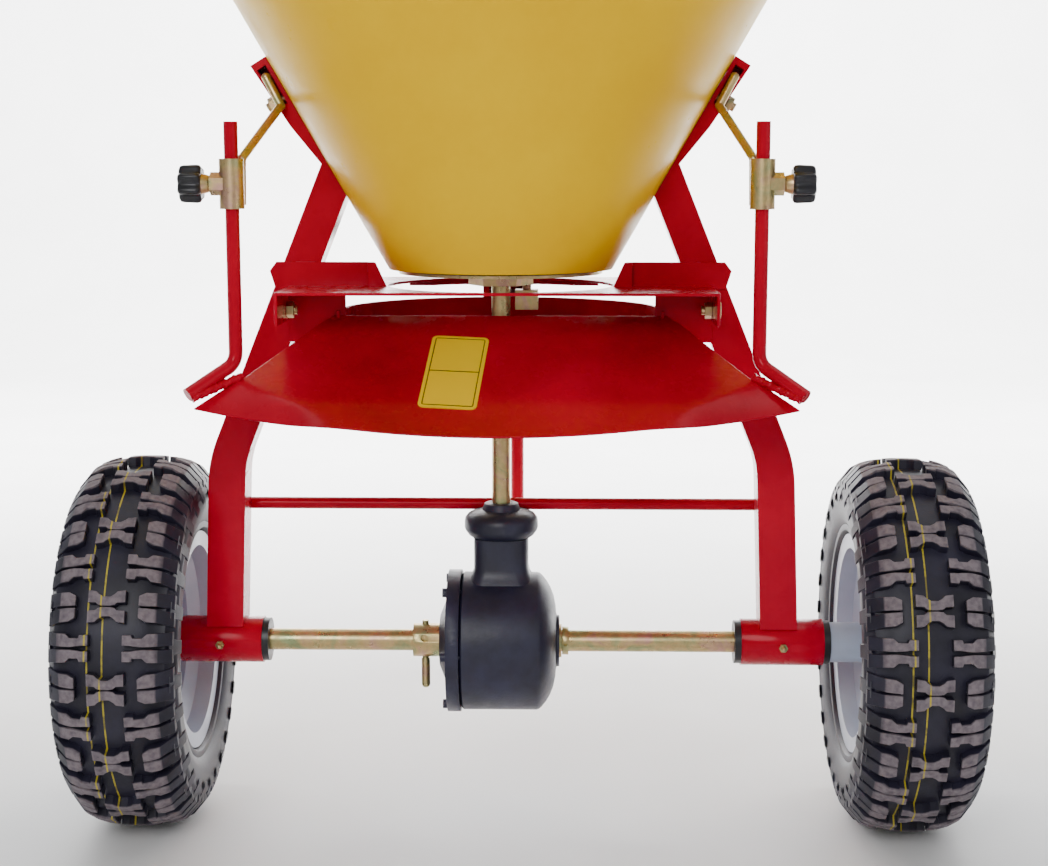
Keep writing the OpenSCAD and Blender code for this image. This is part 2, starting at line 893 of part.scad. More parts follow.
module left_hub() {
    color(silver) place() difference() {
        along_x(-left_wheel_x - 42) tube(hub_r, axle_r + fit, left_wheel_x + 42 - hub_start);
        translate([-left_wheel_x - 30, 0, axle_z - 40]) cylinder(r = 3, h = 80);
    }
}

module right_hub() {
    color(silver) place() along_x(hub_start) tube(hub_r, 13, right_wheel_x + 39 - hub_start);
}

module right_hub_bushes() {
    color(black) place() for (x = [hub_start, right_wheel_x + 14])
        along_x(x) tube(13, axle_r + fit, 25);
}

// ---------- spinner ----------

module spinner_shaft() {
    color(zinc) place() translate([0, 0, 203]) cylinder(r = shaft_r, h = 372);
}

module spinner_disc() {
    color(zinc) place() translate([0, 0, disc_z]) difference() {
        union() {
            cylinder(r = disc_r, h = 2.5);
            translate([0, 0, -3]) tube(disc_r, disc_r - 2, 4);
        }
        translate([0, 0, -skin]) cylinder(r = 14, h = 5);
    }
}

// Hub with a flange on top of the disc and a spigot through it
module disc_hub() {
    color(zinc) place() translate([0, 0, disc_z]) difference() {
        union() {
            translate([0, 0, -18]) cylinder(r = 14, h = 21);
            translate([0, 0, 2.5]) cylinder(r = 24, h = 4);
        }
        translate([0, 0, -20]) cylinder(r = shaft_r, h = 30);
    }
}

// Upright vanes on the disc, each an angle section
module vanes() {
    color(zinc) place() for (i = [0 : vane_count - 1]) rotate(360 / vane_count * i + 45) {
        translate([30, -1.2, disc_z + 2.5]) cube([disc_r - 32, 2.4, 16]);
        translate([30, 1.2, disc_z + 2.5]) cube([disc_r - 32, 12, 2]);
    }
}

// Hub with two bent fingers that stirs the load above the outlets
module agitator() {
    color(zinc) place() difference() {
        union() {
            translate([0, 0, 540]) cylinder(r = 15, h = 22);
            for (a = [0, 180]) rotate(a) bar_path([[11, 0, 550], [48, 0, 535], [60, 8, 519]], 4);
        }
        translate([0, 0, 500]) cylinder(r = shaft_r, h = 100);
    }
}

// ---------- shutter ----------

// Plate under the hopper that turns about the bearing and opens its three outlets
module shutter_plate() {
    color(zinc) place() translate([0, 0, hopper_z - 4]) linear_extrude(2.5) difference() {
        union() {
            circle(r = 92);
            rotate(20) translate([-14, 60]) square([28, 250]);
        }
        circle(r = 17.9);
        for (a = outlet_angles) rotate(a + shutter_turn) translate([62, 0]) circle(r = outlet_r);
    }
}

module shutter_grip() {
    color(black) place() rotate(20) translate([0, 300, hopper_z - 2.75]) difference() {
        rotate([-90, 0, 0]) cylinder(r = 16, h = 70);
        translate([-14.5, -skin, -1.35]) cube([29, 12, 2.7]);
        translate([-40, -skin, -80]) cube([80, 80, 69]);
        translate([-40, -skin, 11]) cube([80, 80, 69]);
    }
}

// Block that hangs from the shutter on a stud
module shutter_block() {
    color(zinc) place() {
        translate([23, 22, 467]) translate([-10.5, -9, 0]) cube([21, 18, 18]);
        translate([23, 30, 485]) cylinder(r = 4, h = 17);
    }
}

// ---------- parking stand ----------

module parking_stand() {
    color(red) place() translate([0, stand_y, -lift]) {
        translate([0, 0, 6]) cylinder(r = stand_r, h = stand_top + lift - 6);
        cylinder(r = 32, h = 6);
    }
}

module stand_clamp_screw() {
    color(zinc) place() translate([0, stand_y, stand_bar_z - 34]) {
        rotate([0, 90, 0]) translate([0, 0, stand_r + 0.3]) cylinder(r = 4, h = 30);
        translate([stand_r + 26, 0, -22]) cylinder(r = 3.5, h = 44);
    }
}

left_leg();
right_leg();
left_axle_housing();
right_axle_housing();
axle_bushes();
grease_nipples();
cross_rod();
platform();
front_guard();
bracket_bolts();
drawbar();
drawbar_strap();
hitch_clevis();
stand_socket();
hopper();
hopper_bolts();
shaft_bearing();
bearing_nut();
left_rod_guide();
right_rod_guide();
gearbox_housing();
gearbox_cover();
gearbox_cap();
cover_screws();
gearbox_bushes();
axle();
gear_sleeve();
crown_gear();
axle_collar();
axle_pins();
drive_pin();
left_rim();
left_rim_disc();
left_tyre();
left_hub();
left_valve();
right_rim();
right_rim_disc();
right_tyre();
right_hub();
right_hub_bushes();
right_valve();
spinner_shaft();
pinion();
spinner_disc();
disc_hub();
vanes();
agitator();
hood();
left_deflector_rod();
right_deflector_rod();
hood_label();
left_clamp_knob();
right_clamp_knob();
shutter_plate();
shutter_grip();
shutter_block();
parking_stand();
stand_clamp_screw();
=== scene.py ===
import json
import math

import bmesh
import bpy
from mathutils import Matrix, Vector


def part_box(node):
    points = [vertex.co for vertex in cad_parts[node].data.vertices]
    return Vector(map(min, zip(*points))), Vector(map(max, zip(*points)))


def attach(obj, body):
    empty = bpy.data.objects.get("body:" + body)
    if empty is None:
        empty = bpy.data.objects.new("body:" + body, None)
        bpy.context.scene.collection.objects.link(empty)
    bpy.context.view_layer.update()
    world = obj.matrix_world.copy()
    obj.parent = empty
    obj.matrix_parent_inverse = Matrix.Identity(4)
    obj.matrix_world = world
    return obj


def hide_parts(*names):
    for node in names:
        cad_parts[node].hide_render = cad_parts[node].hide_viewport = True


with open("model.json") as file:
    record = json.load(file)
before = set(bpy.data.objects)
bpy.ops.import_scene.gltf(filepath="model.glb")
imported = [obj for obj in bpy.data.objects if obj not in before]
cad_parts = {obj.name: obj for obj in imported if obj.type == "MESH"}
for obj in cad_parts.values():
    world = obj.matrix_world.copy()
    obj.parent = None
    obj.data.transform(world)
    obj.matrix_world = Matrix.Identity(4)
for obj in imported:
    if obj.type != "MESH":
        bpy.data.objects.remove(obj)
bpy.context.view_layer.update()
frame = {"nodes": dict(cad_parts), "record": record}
nodes = frame["nodes"]

MM = 0.001


def middle(node):
    low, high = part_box(node)
    return (low + high) / 2


# part.scad draws from a point 159 mm under the axle, midway between the legs
AXLE_Z = 159
ORIGIN = Vector((middle("platform").x, middle("left_hub").y, middle("left_hub").z - AXLE_Z * MM))


def at(x, y, z):
    """A point given in millimetres as part.scad draws it."""
    return ORIGIN + Vector((x, y, z)) * MM


# ---------- camera, light and floor ----------

PITCH, YAW, ROLL = (math.radians(a) for a in (8.61, -1.31, 0.0))
ahead = Vector((math.sin(YAW) * math.cos(PITCH), math.cos(YAW) * math.cos(PITCH), -math.sin(PITCH)))
level_right = Vector((math.cos(YAW), -math.sin(YAW), 0))
level_up = level_right.cross(ahead)
right = level_right * math.cos(ROLL) + level_up * math.sin(ROLL)
up = level_up * math.cos(ROLL) - level_right * math.sin(ROLL)

camera = bpy.data.objects.new("camera", bpy.data.cameras.new("camera"))
bpy.context.scene.collection.objects.link(camera)
camera.data.sensor_width = 36
camera.data.lens = 62.61
camera.data.clip_end = 50
camera.matrix_world = Matrix.Translation(at(58.8, -1654.3, 605.4)) @ Matrix((right, up, -ahead)).transposed().to_4x4()
bpy.context.scene.camera = camera


def area_light(name, place, target, size, power, colour=(1, 1, 1)):
    light = bpy.data.objects.new(name, bpy.data.lights.new(name, "AREA"))
    bpy.context.scene.collection.objects.link(light)
    light.data.shape = "DISK"
    light.data.size = size
    light.data.energy = power
    light.data.color = colour
    light.location = place
    light.rotation_euler = (target - light.location).to_track_quat("-Z", "Y").to_euler()


aim = at(0, 0, 450)
BACKDROP_POWER = 420
area_light("key", at(-500, -2400, 1500), aim, 1.3, 30)
area_light("fill", at(1900, -1500, 1100), aim, 1.6, 6)
area_light("top", at(0, 300, 2700), aim, 2.2, 24)
area_light("back", at(-900, 2400, 1500), aim, 1.8, 16)
area_light("backdrop left", at(-1500, 1900, 2300), at(-1300, 4200, 300), 2.0, BACKDROP_POWER)
area_light("backdrop right", at(1500, 1900, 2300), at(1300, 4200, 300), 2.0, BACKDROP_POWER)

world = bpy.data.worlds.new("studio")
bpy.context.scene.world = world
world.use_nodes = True
world.node_tree.nodes["Background"].inputs["Color"].default_value = (1.0, 1.0, 1.0, 1)
world.node_tree.nodes["Background"].inputs["Strength"].default_value = 0.42


# ---------- materials ----------

def rgb(red, green, blue):
    """A colour given as 8-bit sRGB, in linear light."""
    def linear(value):
        value /= 255
        return value / 12.92 if value <= 0.04045 else ((value + 0.055) / 1.055) ** 2.4
    return (linear(red), linear(green), linear(blue), 1)


class Shader:
    """A node material with short names for the nodes used here."""

    def __init__(self, name, **constants):
        self.material = bpy.data.materials.new(name)
        self.material.use_nodes = True
        self.tree = self.material.node_tree
        self.surface = self.tree.nodes["Principled BSDF"]
        self.place = self.tree.nodes.new("ShaderNodeTexCoord").outputs["Object"]
        for socket, value in constants.items():
            self.surface.inputs[socket.replace("_", " ")].default_value = value

    def wire(self, socket, value):
        if isinstance(value, bpy.types.NodeSocket):
            self.tree.links.new(value, socket)
        else:
            socket.default_value = value

    def set(self, socket, value):
        self.wire(self.surface.inputs[socket], value)

    def noise(self, scale, detail=4.0, roughness=0.55, distortion=0.0):
        node = self.tree.nodes.new("ShaderNodeTexNoise")
        self.wire(node.inputs["Vector"], self.place)
        node.inputs["Scale"].default_value = scale
        node.inputs["Detail"].default_value = detail
        node.inputs["Roughness"].default_value = roughness
        node.inputs["Distortion"].default_value = distortion
        return node.outputs["Fac"]

    def ramp(self, value, *stops):
        node = self.tree.nodes.new("ShaderNodeValToRGB")
        self.wire(node.inputs["Fac"], value)
        elements = node.color_ramp.elements
        while len(elements) < len(stops):
            elements.new(0.5)
        for element, (position, colour) in zip(elements, stops):
            element.position = position
            element.color = colour
        return node.outputs["Color"]

    def span(self, value, low, high, to_low, to_high):
        node = self.tree.nodes.new("ShaderNodeMapRange")
        for socket, number in zip(("Value", "From Min", "From Max", "To Min", "To Max"),
                                  (value, low, high, to_low, to_high)):
            self.wire(node.inputs[socket], number)
        return node.outputs["Result"]

    def math(self, operation, first, second=0.0):
        node = self.tree.nodes.new("ShaderNodeMath")
        node.operation = operation
        self.wire(node.inputs[0], first)
        self.wire(node.inputs[1], second)
        return node.outputs[0]

    def mix(self, share, first, second):
        node = self.tree.nodes.new("ShaderNodeMix")
        node.data_type = "RGBA"
        self.wire(node.inputs["Factor"], share)
        self.wire(node.inputs[6], first)
        self.wire(node.inputs[7], second)
        return node.outputs[2]

    def axes(self):
        node = self.tree.nodes.new("ShaderNodeSeparateXYZ")
        self.wire(node.inputs[0], self.place)
        return node.outputs

    def bump(self, height, strength, distance):
        node = self.tree.nodes.new("ShaderNodeBump")
        node.inputs["Strength"].default_value = strength
        node.inputs["Distance"].default_value = distance
        self.wire(node.inputs["Height"], height)
        self.wire(self.surface.inputs["Normal"], node.outputs["Normal"])


def paint(name, light, deep, roughness, coat, shine=0.45):
    """Powder coat: a faint mottle, orange peel and uneven gloss."""
    s = Shader(name, Coat_Weight=coat, Coat_Roughness=0.14, Specular_IOR_Level=shine, Specular_Tint=light)
    s.set("Base Color", s.ramp(s.noise(7, 5), (0.32, deep), (0.68, light)))
    s.set("Roughness", s.span(s.noise(45, 6), 0.3, 0.7, roughness - 0.05, roughness + 0.07))
    s.bump(s.noise(620, 2), 0.12, 0.0004)
    return s.material


def plated(name, gold, pink, green, roughness):
    """Yellow-passivated zinc: iridescent blotches and fine drawing lines."""
    s = Shader(name, Metallic=0.88)
    tint = s.ramp(s.noise(38, 5, 0.6, 0.8), (0.33, green), (0.5, gold), (0.67, pink))
    cloud = s.ramp(s.noise(210, 4), (0.3, (0.72, 0.72, 0.72, 1)), (0.7, (1, 1, 1, 1)))
    node = s.tree.nodes.new("ShaderNodeMix")
    node.data_type = "RGBA"
    node.blend_type = "MULTIPLY"
    node.inputs["Factor"].default_value = 0.7
    s.wire(node.inputs[6], tint)
    s.wire(node.inputs[7], cloud)
    s.set("Base Color", node.outputs[2])
    s.set("Roughness", s.span(s.noise(120, 5), 0.3, 0.7, roughness - 0.08, roughness + 0.1))
    s.bump(s.noise(900, 3), 0.1, 0.0003)
    return s.material


def plastic(name, light, deep, roughness, grain=700, depth=0.15):
    s = Shader(name, Specular_IOR_Level=0.5)
    s.set("Base Color", s.ramp(s.noise(30, 5), (0.35, deep), (0.65, light)))
    s.set("Roughness", s.span(s.noise(80, 4), 0.3, 0.7, roughness - 0.06, roughness + 0.08))
    s.bump(s.noise(grain, 3), depth, 0.0004)
    return s.material


def rubber(name, wheel_x):
    """Tyre rubber, grey on the tread's worn tops, with two thin marking lines round the crown."""
    s = Shader(name, Specular_IOR_Level=0.4)
    x, y, z = s.axes()
    hub = at(wheel_x, 0, AXLE_Z)
    across = s.math("SUBTRACT", x, hub.x)
    dy, dz = s.math("SUBTRACT", y, hub.y), s.math("SUBTRACT", z, hub.z)
    radius = s.math("SQRT", s.math("ADD", s.math("MULTIPLY", dy, dy), s.math("MULTIPLY", dz, dz)))
    side = s.span(s.math("ABSOLUTE", across), 0.014, 0.050, 0.0, 0.009)
    worn = s.span(s.math("ADD", radius, side), 0.1702, 0.1716, 0.0, 1.0)
    worn = s.math("MULTIPLY", worn, s.span(s.noise(190, 5), 0.3, 0.6, 0.45, 1.0))
    base = s.ramp(s.noise(26, 5), (0.35, rgb(22, 20, 34)), (0.65, rgb(38, 36, 54)))
    colour = s.mix(worn, base, rgb(122, 112, 118))
    for offset in (-0.0175, -0.0045):
        line = s.math("LESS_THAN", s.math("ABSOLUTE", s.math("SUBTRACT", across, offset)), 0.0007)
        line = s.math("MULTIPLY", line, s.math("GREATER_THAN", radius, 0.160))
        line = s.math("MULTIPLY", line, s.span(s.noise(90, 3), 0.4, 0.5, 0.35, 0.9))
        colour = s.mix(line, colour, rgb(188, 170, 40))
    s.set("Base Color", colour)
    s.set("Roughness", s.span(worn, 0, 1, 0.46, 0.85))
    s.bump(s.noise(500, 5), 0.25, 0.0005)
    return s.material


RED = paint("red coat", rgb(190, 0, 40), rgb(152, 0, 26), 0.26, 0.22, 0.4)
YELLOW = paint("yellow coat", rgb(236, 190, 0), rgb(228, 178, 0), 0.32, 0.0, 0.1)
SILVER = paint("rim paint", rgb(176, 184, 200), rgb(150, 158, 176), 0.34, 0.2)
ZINC = plated("yellow zinc", rgb(206, 178, 124), rgb(200, 156, 140), rgb(158, 168, 122), 0.32)
STEEL = plated("bright steel", rgb(170, 170, 172), rgb(178, 172, 172), rgb(160, 168, 168), 0.30)
BLACK = plastic("black plastic", rgb(26, 26, 34), rgb(16, 16, 22), 0.36)
CASTING = plastic("gearbox casting", rgb(36, 36, 62), rgb(22, 22, 42), 0.42, 420, 0.3)
VALVE = plastic("valve rubber", rgb(30, 30, 34), rgb(20, 20, 24), 0.55)
LABEL = paint("label film", rgb(246, 208, 10), rgb(240, 198, 0), 0.42, 0.1)
INK = plastic("label ink", rgb(30, 26, 22), rgb(20, 18, 16), 0.5)

FINISH = {
    "red_paint": RED, "yellow_paint": YELLOW, "zinc": ZINC, "steel": STEEL,
    "black_plastic": BLACK, "gearbox_black": CASTING, "rim_silver": SILVER,
    "label": LABEL, "valve_rubber": VALVE,
}


# ---------- pieces ----------

def piece(name, bm, material, body, replaced=(), smooth=35):
    """An object made of bm on one moving body, in place of the CAD nodes it replaces."""
    bmesh.ops.recalc_face_normals(bm, faces=bm.faces)
    mesh = bpy.data.meshes.new(name)
    bm.to_mesh(mesh)
    bm.free()
    mesh.shade_smooth()
    mesh.set_sharp_from_angle(angle=math.radians(smooth))
    mesh.materials.append(material)
    obj = bpy.data.objects.new(name, mesh)
    bpy.context.scene.collection.objects.link(obj)
    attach(obj, body)
    if replaced:
        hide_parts(*replaced)
    return obj


def bevel(obj, width, segments=2, angle=32):
    modifier = obj.modifiers.new("edges", "BEVEL")
    modifier.width = width * MM
    modifier.segments = segments
    modifier.limit_method = "ANGLE"
    modifier.angle_limit = math.radians(angle)
    modifier.harden_normals = True
    return modifier


def soften(node, width):
    """Rounds a CAD node's edges with modifiers, which leave its own mesh as it is."""
    obj = nodes[node]
    weld = obj.modifiers.new("weld", "WELD")
    weld.merge_threshold = 0.00002
    flat = obj.modifiers.new("flat", "DECIMATE")
    flat.decimate_type = "DISSOLVE"
    flat.angle_limit = math.radians(0.6)
    bevel(obj, width)


def loft(bm, rings, loop=False):
    """Faces between rings of corners. A loop joins its last ring to its first, the rest get end faces."""
    following = rings[1:] + rings[:1] if loop else rings[1:]
    for low, high in zip(rings, following):
        for i in range(len(low)):
            k = (i + 1) % len(low)
            bm.faces.new((low[i], low[k], high[k], high[i]))
    if not loop:
        bm.faces.new(rings[0])
        bm.faces.new(rings[-1])


def circle(turns):
    """The cosine and sine of each of so many equal turns."""
    angles = (2 * math.pi * i / turns for i in range(turns))
    return [(math.cos(a), math.sin(a)) for a in angles]


def lathe(bm, profile, centre_x, segments=144):
    """Turns a closed outline of (x, radius) about the axle."""
    loft(bm, [[bm.verts.new(at(centre_x + x, radius * u, AXLE_Z + radius * v)) for u, v in circle(segments)]
              for x, radius in profile], loop=True)


# ---------- tyres ----------

TYRE_R = 172
TYRE_MID_R = 134
TYRE_HALF = 56
PITCHES = 15
GROOVE = 9


def crown(x):
    """Radius of the tread's top at x from the tyre's centre plane."""
    c = min(abs(x) / TYRE_HALF, 0.999) ** (1 / 0.7)
    return TYRE_MID_R + (TYRE_R - TYRE_MID_R - 0.3) * math.sqrt(1 - c * c) ** 0.75


def lug(bm, wheel_x, turn, stations, depth=GROOVE + 2, drop=0.0):
    """A block that stands out of the carcass: at each x it runs from s0 to s1 round the tyre."""
    foot_spread = 0.8
    sections = []
    for x, s0, s1 in stations:
        top = crown(x) - drop
        section = []
        for s, radius in ((s0, top), (s1, top), (s1, top - depth), (s0, top - depth)):
            spread = foot_spread if radius < top else 0
            a = turn + (s + (spread if s == s1 else -spread)) / top
            section.append(bm.verts.new(at(wheel_x + x, -radius * math.cos(a), AXLE_Z + radius * math.sin(a))))
        sections.append(section)
    loft(bm, sections)


# Stations of (x, s0, s1) for each kind of block
X_HALF = [(-16, 3.6, 14.2), (-9, 3.2, 13.2), (-7, 1.2, 11.0), (-3, 0.5, 8.6), (3, 0.5, 8.6),
          (7, 1.2, 11.0), (9, 3.2, 13.2), (16, 3.6, 14.2)]
SIDE_BAR = [(14.5, 2.4, 11.4), (22, 2.4, 11.4), (23, 2.0, 8.6), (31, 1.2, 8.6),
            (35, 1.2, 12.2), (43, 1.4, 12.6), (53.5, 1.6, 13.5)]
SHOULDER = [(27, 1.0, 9.5), (33, 1.0, 12.6), (40, 1.2, 12.8), (54, 1.4, 14)]
SIDEWALL = [(51, -7.5, 7.5), (57.5, -5.5, 5.5)]


def tyre(side, wheel_x):
    """The carcass, then the tread: centre blocks, side bars half a pitch on, shoulder and sidewall blocks."""
    body = "axle_unit" if side == "left" else "right_wheel"
    bm = bmesh.new()
    outer = [(42.6, 91), (43, 101.8), (47, 102.6), (49.6, 104.5), (50.2, 108), (49.6, 110), (52.4, 114), (54.2, 121),
             (55.4, 130), (55.4, 137), (55.9, 139), (55.2, 142), (53.6, 144), (51.2, 150), (47.5, 155)]
    half = outer + [(x, crown(x) - GROOVE) for x in (42, 36, 28, 20, 10)]
    profile = half + [(0, crown(0) - GROOVE - 0.7)] + [(-x, r) for x, r in reversed(half)]
    inner_half = [(20, 157), (38, 150), (47, 130), (46, 112), (36, 91)]
    inner = [(-x, r) for x, r in reversed(inner_half)] + inner_half
    lathe(bm, profile + inner, wheel_x)
    material = rubber(side + " tyre rubber", wheel_x)
    piece(side + "_tyre_carcass", bm, material, body, (side + "_tyre",), 40)

    bm = bmesh.new()
    step = 2 * math.pi / PITCHES
    for i in range(PITCHES):
        turn = i * step
        for way in (-1, 1):
            lug(bm, wheel_x, turn, [(x, *sorted((s0 * way, s1 * way))) for x, s0, s1 in X_HALF])
            for flip in (-1, 1):
                for shift, stations in ((step / 2, SIDE_BAR), (0, SHOULDER)):
                    lug(bm, wheel_x, turn + shift,
                        [(x * way, *sorted((s0 * flip, s1 * flip))) for x, s0, s1 in stations])
            for shift in (0, step / 2):
                lug(bm, wheel_x, turn + shift, [(x * way, s0, s1) for x, s0, s1 in SIDEWALL], depth=5, drop=1.5)
    tread = piece(side + "_tyre_tread", bm, material, body, (side + "_tyre",), 30)
    bevel(tread, 0.6)


LEFT_WHEEL_X = (middle("left_rim").x - ORIGIN.x) / MM
RIGHT_WHEEL_X = (middle("right_rim").x - ORIGIN.x) / MM
tyre("left", LEFT_WHEEL_X)
tyre("right", RIGHT_WHEEL_X)


# ---------- clamp knobs ----------

def knob(side, way):
    """A lobed grip on a turned stem. way is the side it points to."""
    low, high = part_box(side + "_clamp_knob")
    centre = middle(side + "_clamp_knob")
    outer_x = high.x if way > 0 else low.x
    inner_x = low.x if way > 0 else high.x
    lobes, points = 7, 84

    def ring(bm, x, scale):
        verts = []
        for i in range(points):
            a = 2 * math.pi * i / points
            radius = (14.6 + 1.9 * math.cos(lobes * a)) * scale * MM
            verts.append(bm.verts.new(Vector((x, centre.y + radius * math.cos(a), centre.z + radius * math.sin(a)))))
        return verts

    bm = bmesh.new()
    grip = 19 * MM * way
    sections = [(outer_x - grip, 0.86), (outer_x - grip * 0.93, 0.97), (outer_x - grip * 0.8, 1.0),
                (outer_x - grip * 0.2, 0.97), (outer_x - grip * 0.06, 0.92), (outer_x, 0.80),
                (outer_x, 0.45), (outer_x - grip * 0.1, 0.38)]
    loft(bm, [ring(bm, x, scale) for x, scale in sections])
    body = side + "_knob"
    piece(side + "_knob_grip", bm, BLACK, body, (side + "_clamp_knob",), 40)

    bm = bmesh.new()
    stem = [(0, 4), (12, 4), (12, 6.4), (13, 7.2), (20, 9.3), (22, 9.3)]
    rings = []
    for along, radius in stem:
        x = inner_x + along * MM * way
        rings.append([bm.verts.new(Vector((x, centre.y + radius * MM * u, centre.z + radius * MM * v)))
                      for u, v in circle(40)])
    loft(bm, rings)
    piece(side + "_knob_stem", bm, ZINC, body, (side + "_clamp_knob",), 40)


knob("left", -1)
knob("right", 1)


# ---------- hood ----------

HOOD_TILT = math.radians(30)
HOOD_Y, HOOD_Z = -22, 466
HOOD_REACH = 173.0
HOOD_SIDES = [(150, 0), (216, 94.7), (257, 127)]


def on_hood(x, down, out=0.0):
    """A point on the hood: down its slope from the inner edge, and out of its upper face."""
    return at(x, HOOD_Y - down * math.cos(HOOD_TILT) - out * math.sin(HOOD_TILT),
              HOOD_Z - down * math.sin(HOOD_TILT) + out * math.cos(HOOD_TILT))


def smooth(value, low, high):
    """Rises from 0 to 1 between low and high, with soft ends."""
    t = min(max((value - low) / (high - low), 0), 1)
    return t * t * (3 - 2 * t)


def droop(x, down):
    """How far the sheet bends below its plane: its rear corners are folded down."""
    beyond = (abs(x) - 222) * 0.468 + (down - 101) * 0.884
    corner = 0.24 * max(beyond, 0) * smooth(abs(x), 110, 180)
    return corner + 2.6 * smooth(down, 120, 175) + 1.6 * smooth(-down, -16, 0)


def hood():
    """The bent sheet. Its rear edge bows back between the two tips."""
    across, along = 72, 36
    lengths = [math.dist(a, b) for a, b in zip(HOOD_SIDES, HOOD_SIDES[1:])]

    def side_point(share):
        distance = share * sum(lengths)
        for (a, b), length in zip(zip(HOOD_SIDES, HOOD_SIDES[1:]), lengths):
            if distance <= length or b == HOOD_SIDES[-1]:
                t = min(distance / length, 1)
                return a[0] + (b[0] - a[0]) * t, a[1] + (b[1] - a[1]) * t
            distance -= length

    bm = bmesh.new()
    rows = []
    for j in range(along + 1):
        edge_x, edge_down = side_point(j / along)
        row = []
        for i in range(across + 1):
            t = 2 * i / across - 1
            x = edge_x * t
            down = edge_down + (HOOD_REACH - HOOD_SIDES[-1][1]) * (j / along) ** 1.6 * (1 - t * t)
            row.append(bm.verts.new(on_hood(x, down, -droop(x, down))))
        rows.append(row)
    for low, high in zip(rows, rows[1:]):
        for i in range(across):
            bm.faces.new((low[i], low[i + 1], high[i + 1], high[i]))
    sheet = piece("hood_sheet", bm, RED, "deflector", ("hood",), 50)
    thick = sheet.modifiers.new("thickness", "SOLIDIFY")
    thick.thickness = 2 * MM
    thick.offset = -1 if sheet.data.polygons[0].normal.z > 0 else 1
    bevel(sheet, 0.6, 2, 50)


def rounded(width, height, radius, inset=0.0):
    """Outline of a rounded rectangle, as points."""
    points = []
    w, h, r = width / 2 - inset, height / 2 - inset, max(radius - inset, 0.6)
    for cx, cy, start in ((w - r, h - r, 0), (r - w, h - r, 90), (r - w, r - h, 180), (w - r, r - h, 270)):
        for i in range(7):
            a = math.radians(start + 15 * i)
            points.append((cx + r * math.cos(a), cy + r * math.sin(a)))
    return points


def label():
    width, height, corner = 50, 102, 5
    turn = math.radians(-4.3)

    def ring(bm, outline, out):
        """The corners of an outline on the label's own axes, a height out from the hood."""
        corners = []
        for x, y in outline:
            px = -37 + x * math.cos(turn) - y * math.sin(turn)
            down = 87 - x * math.sin(turn) - y * math.cos(turn)
            corners.append(bm.verts.new(on_hood(px, down, out - droop(px, down))))
        return corners

    bm = bmesh.new()
    outline = rounded(width, height, corner)
    loft(bm, [ring(bm, outline, 0.9), ring(bm, outline, 0.0)])
    piece("label_film", bm, LABEL, "deflector", ("hood_label",), 30)

    bm = bmesh.new()
    outer, inner = (rounded(width, height, corner, inset) for inset in (3.0, 3.8))
    loft(bm, [ring(bm, outline, out) for outline, out in ((outer, 1.05), (inner, 1.05), (inner, 0.8), (outer, 0.8))],
         loop=True)
    bar = [(-21.6, 0.4), (21.6, 0.4), (21.6, -0.4), (-21.6, -0.4)]
    loft(bm, [ring(bm, bar, 1.05), ring(bm, bar, 0.8)])
    piece("label_frame", bm, INK, "deflector", ("hood_label",), 30)


hood()
label()


# ---------- bent rods and welds ----------

def tube(name, points, radius, material, body, replaced=(), lumps=0.0, sides=24):
    """A round bar along smooth points. With lumps, its radius is uneven, as a weld bead's is."""
    bm = bmesh.new()
    rings = []
    side = Vector((0.3, 1, 0.2))
    for index, point in enumerate(points):
        ahead_point = points[min(index + 1, len(points) - 1)]
        behind_point = points[max(index - 1, 0)]
        tangent = (ahead_point - behind_point).normalized()
        side = -side.cross(tangent).normalized().cross(tangent).normalized()
        other = tangent.cross(side)
        ring = []
        for i in range(sides):
            a = 2 * math.pi * i / sides
            grow = 1 + lumps * (math.sin(index * 1.9 + a) * 0.5 + math.sin(index * 0.83 + 2 * a) * 0.5)
            ring.append(bm.verts.new(point + (side * math.cos(a) + other * math.sin(a)) * radius * grow * MM))
        rings.append(ring)
    loft(bm, rings)
    piece(name, bm, material, body, replaced, 50)


def rounded_path(corners, radius):
    """Points along a path of corners, in millimetres, with an arc at each inner corner."""
    corners = [Vector(c) for c in corners]
    points = [corners[0]]
    for a, b, c in zip(corners, corners[1:], corners[2:]):
        u, w = (a - b).normalized(), (c - b).normalized()
        half = u.angle(w) / 2
        reach = min(radius / math.tan(half), (a - b).length * 0.9, (c - b).length * 0.9)
        start, end = b + u * reach, b + w * reach
        for i in range(11):
            t = i / 10
            points.append((start * (1 - t) + b * t) * (1 - t) + (b * (1 - t) + end * t) * t)
    points.append(corners[-1])
    return [at(*p) for p in points]


ROD_TOP, ROD_BEND, ROD_END = (224, -104, 635), (224, -104, 431), (261, -131, 406)

for side, way in (("left", -1), ("right", 1)):
    corners = [(x * way, y, z) for x, y, z in (ROD_TOP, ROD_BEND, ROD_END)]
    tube(side + "_rod_bar", rounded_path(corners, 16), 6, RED, "deflector", (side + "_deflector_rod",))
    seam = [at((219 + 38 * t) * way, -105.5 - 27 * t, 419.3 - 15.8 * t) for t in (i / 36 for i in range(37))]
    tube(side + "_rod_weld", seam, 3.6, RED, "deflector", lumps=0.22, sides=16)


# ---------- guard and the platform's upstand ----------

def guard():
    """Half-round wall ahead of the disc, with straight ends back to the wings."""
    outer, inner, bottom, top = 147, 144, 372, 469
    arc = [math.radians(a) for a in range(0, 181, 3)]
    path = [(outer, -25)] + [(outer * math.cos(a), outer * math.sin(a)) for a in arc] + [(-outer, -25)]
    bm = bmesh.new()
    rings = []
    for x, y in path:
        x_in = x * inner / outer
        y_in = y * inner / outer if y > 0 else y
        corners = ((x, y, top), (x_in, y_in, top), (x_in, y_in, bottom), (x, y, bottom))
        rings.append([bm.verts.new(at(*corner)) for corner in corners])
    loft(bm, rings)
    bevel(piece("guard_wall", bm, RED, "chassis", ("front_guard",), 40), 0.6)


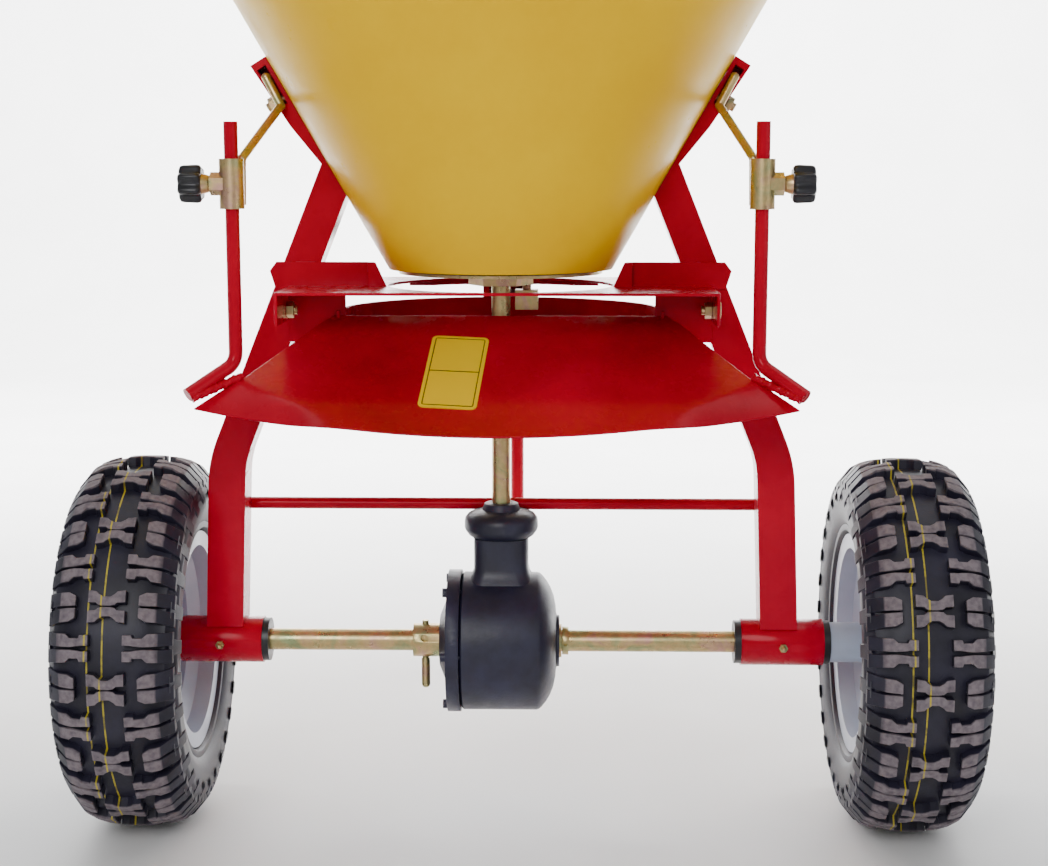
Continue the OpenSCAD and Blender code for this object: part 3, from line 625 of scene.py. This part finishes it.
def upstand_ends():
    """Plates that carry the platform's upstand on towards the hopper."""
    outline = [(100.5, 489.5), (118, 489.5), (118, 512.5), (111, 512.5)]
    bm = bmesh.new()
    for way in (-1, 1):
        loft(bm, [[bm.verts.new(at(x * way, y, z)) for x, z in outline] for y in (-27.5, -24.8)])
    bevel(piece("upstand_ends", bm, RED, "chassis"), 0.5)


guard()
upstand_ends()


# ---------- gearbox ----------

CAP_Z = 258


def gearbox():
    """The cap is turned about the upright shaft, the barrel about the axle, and the neck joins them."""
    cap = [(8.56, CAP_Z), (24, CAP_Z), (27, 258.4), (30, 260.5), (33.2, 265), (34, 267.5), (34, 273), (33.2, 276.5),
           (30.5, 279.8), (26, 282), (21, 283.2), (17.6, 283.6), (16.8, 286), (15.4, 289.3), (13.8, 290), (8.56, 290)]
    bm = bmesh.new()
    loft(bm, [[bm.verts.new(at(r * u, r * v, z)) for u, v in circle(72)] for r, z in cap], loop=True)
    piece("cap_dome", bm, CASTING, "chassis", ("gearbox_cap",), 38)

    bm = bmesh.new()
    barrel = [(-37, 57), (-37, 61), (-34.5, 64), (33, 64), (35.5, 63.2), (38, 61), (42, 56), (45.5, 50), (48.6, 42),
              (50.4, 33), (51, 26), (51.6, 24), (53.4, 24), (54, 23.4), (54, 20), (33, 20), (33, 57)]
    lathe(bm, barrel, 0, 120)
    piece("gearbox_barrel", bm, CASTING, "chassis", ("gearbox_housing",), 40)

    bm = bmesh.new()
    foot = AXLE_Z + 56
    outside = [(foot, 6), (foot + 6, 3.2), (foot + 10, 1.2), (foot + 16, 0), (CAP_Z, 0)]
    rings = [(z, rounded(50 + 2 * flare, 44 + 2 * flare, 13)) for z, flare in outside]
    rings += [(z, rounded(28, 28, 13.9)) for z in (CAP_Z, foot)]
    loft(bm, [[bm.verts.new(at(x, y, z)) for x, y in outline] for z, outline in rings], loop=True)
    piece("gearbox_neck", bm, CASTING, "chassis", ("gearbox_housing",), 40)


gearbox()


# ---------- finishes of the CAD nodes ----------

for part in frame["record"]["subparts"]:
    obj = nodes[part["node"]]
    obj.data.materials.clear()
    obj.data.materials.append(FINISH.get(part["material_slot"], STEEL))

for node, width in {
    "left_leg": 2.2, "right_leg": 2.2, "platform": 0.6, "drawbar": 2.0,
    "drawbar_strap": 0.6, "hitch_clevis": 0.8, "gearbox_cover": 1.4,
    "left_axle_housing": 0.8, "right_axle_housing": 0.8,
    "bracket_bolts": 0.5, "hopper_bolts": 0.5, "bearing_nut": 0.8,
    "shutter_block": 0.8, "shutter_grip": 0.8, "axle_collar": 0.6, "gear_sleeve": 0.6,
}.items():
    soften(node, width)


# ---------- floor ----------

def floor():
    """A level floor that curves up into a wall behind the object, in metres."""
    bm = bmesh.new()
    reach, back, radius, height = 6.0, 3.2, 1.2, 4.0
    path = [(-5.0, 0.0), (back, 0.0)]
    path += [(back + radius * math.sin(a), radius - radius * math.cos(a))
             for a in (math.pi / 2 * i / 12 for i in range(1, 13))]
    path.append((back + radius, height))
    rows = [[bm.verts.new((x, y, z)) for x in (-reach, reach)] for y, z in path]
    for first, second in zip(rows, rows[1:]):
        bm.faces.new((first[0], first[1], second[1], second[0]))
    mesh = bpy.data.meshes.new("floor")
    bm.to_mesh(mesh)
    bm.free()
    mesh.shade_smooth()
    s = Shader("pale floor")
    s.set("Base Color", s.ramp(s.noise(3, 3), (0.4, rgb(238, 238, 238)), (0.6, rgb(242, 242, 242))))
    s.set("Roughness", s.span(s.noise(8, 3), 0.3, 0.7, 0.55, 0.65))
    mesh.materials.append(s.material)
    obj = bpy.data.objects.new("floor", mesh)
    bpy.context.scene.collection.objects.link(obj)


floor()
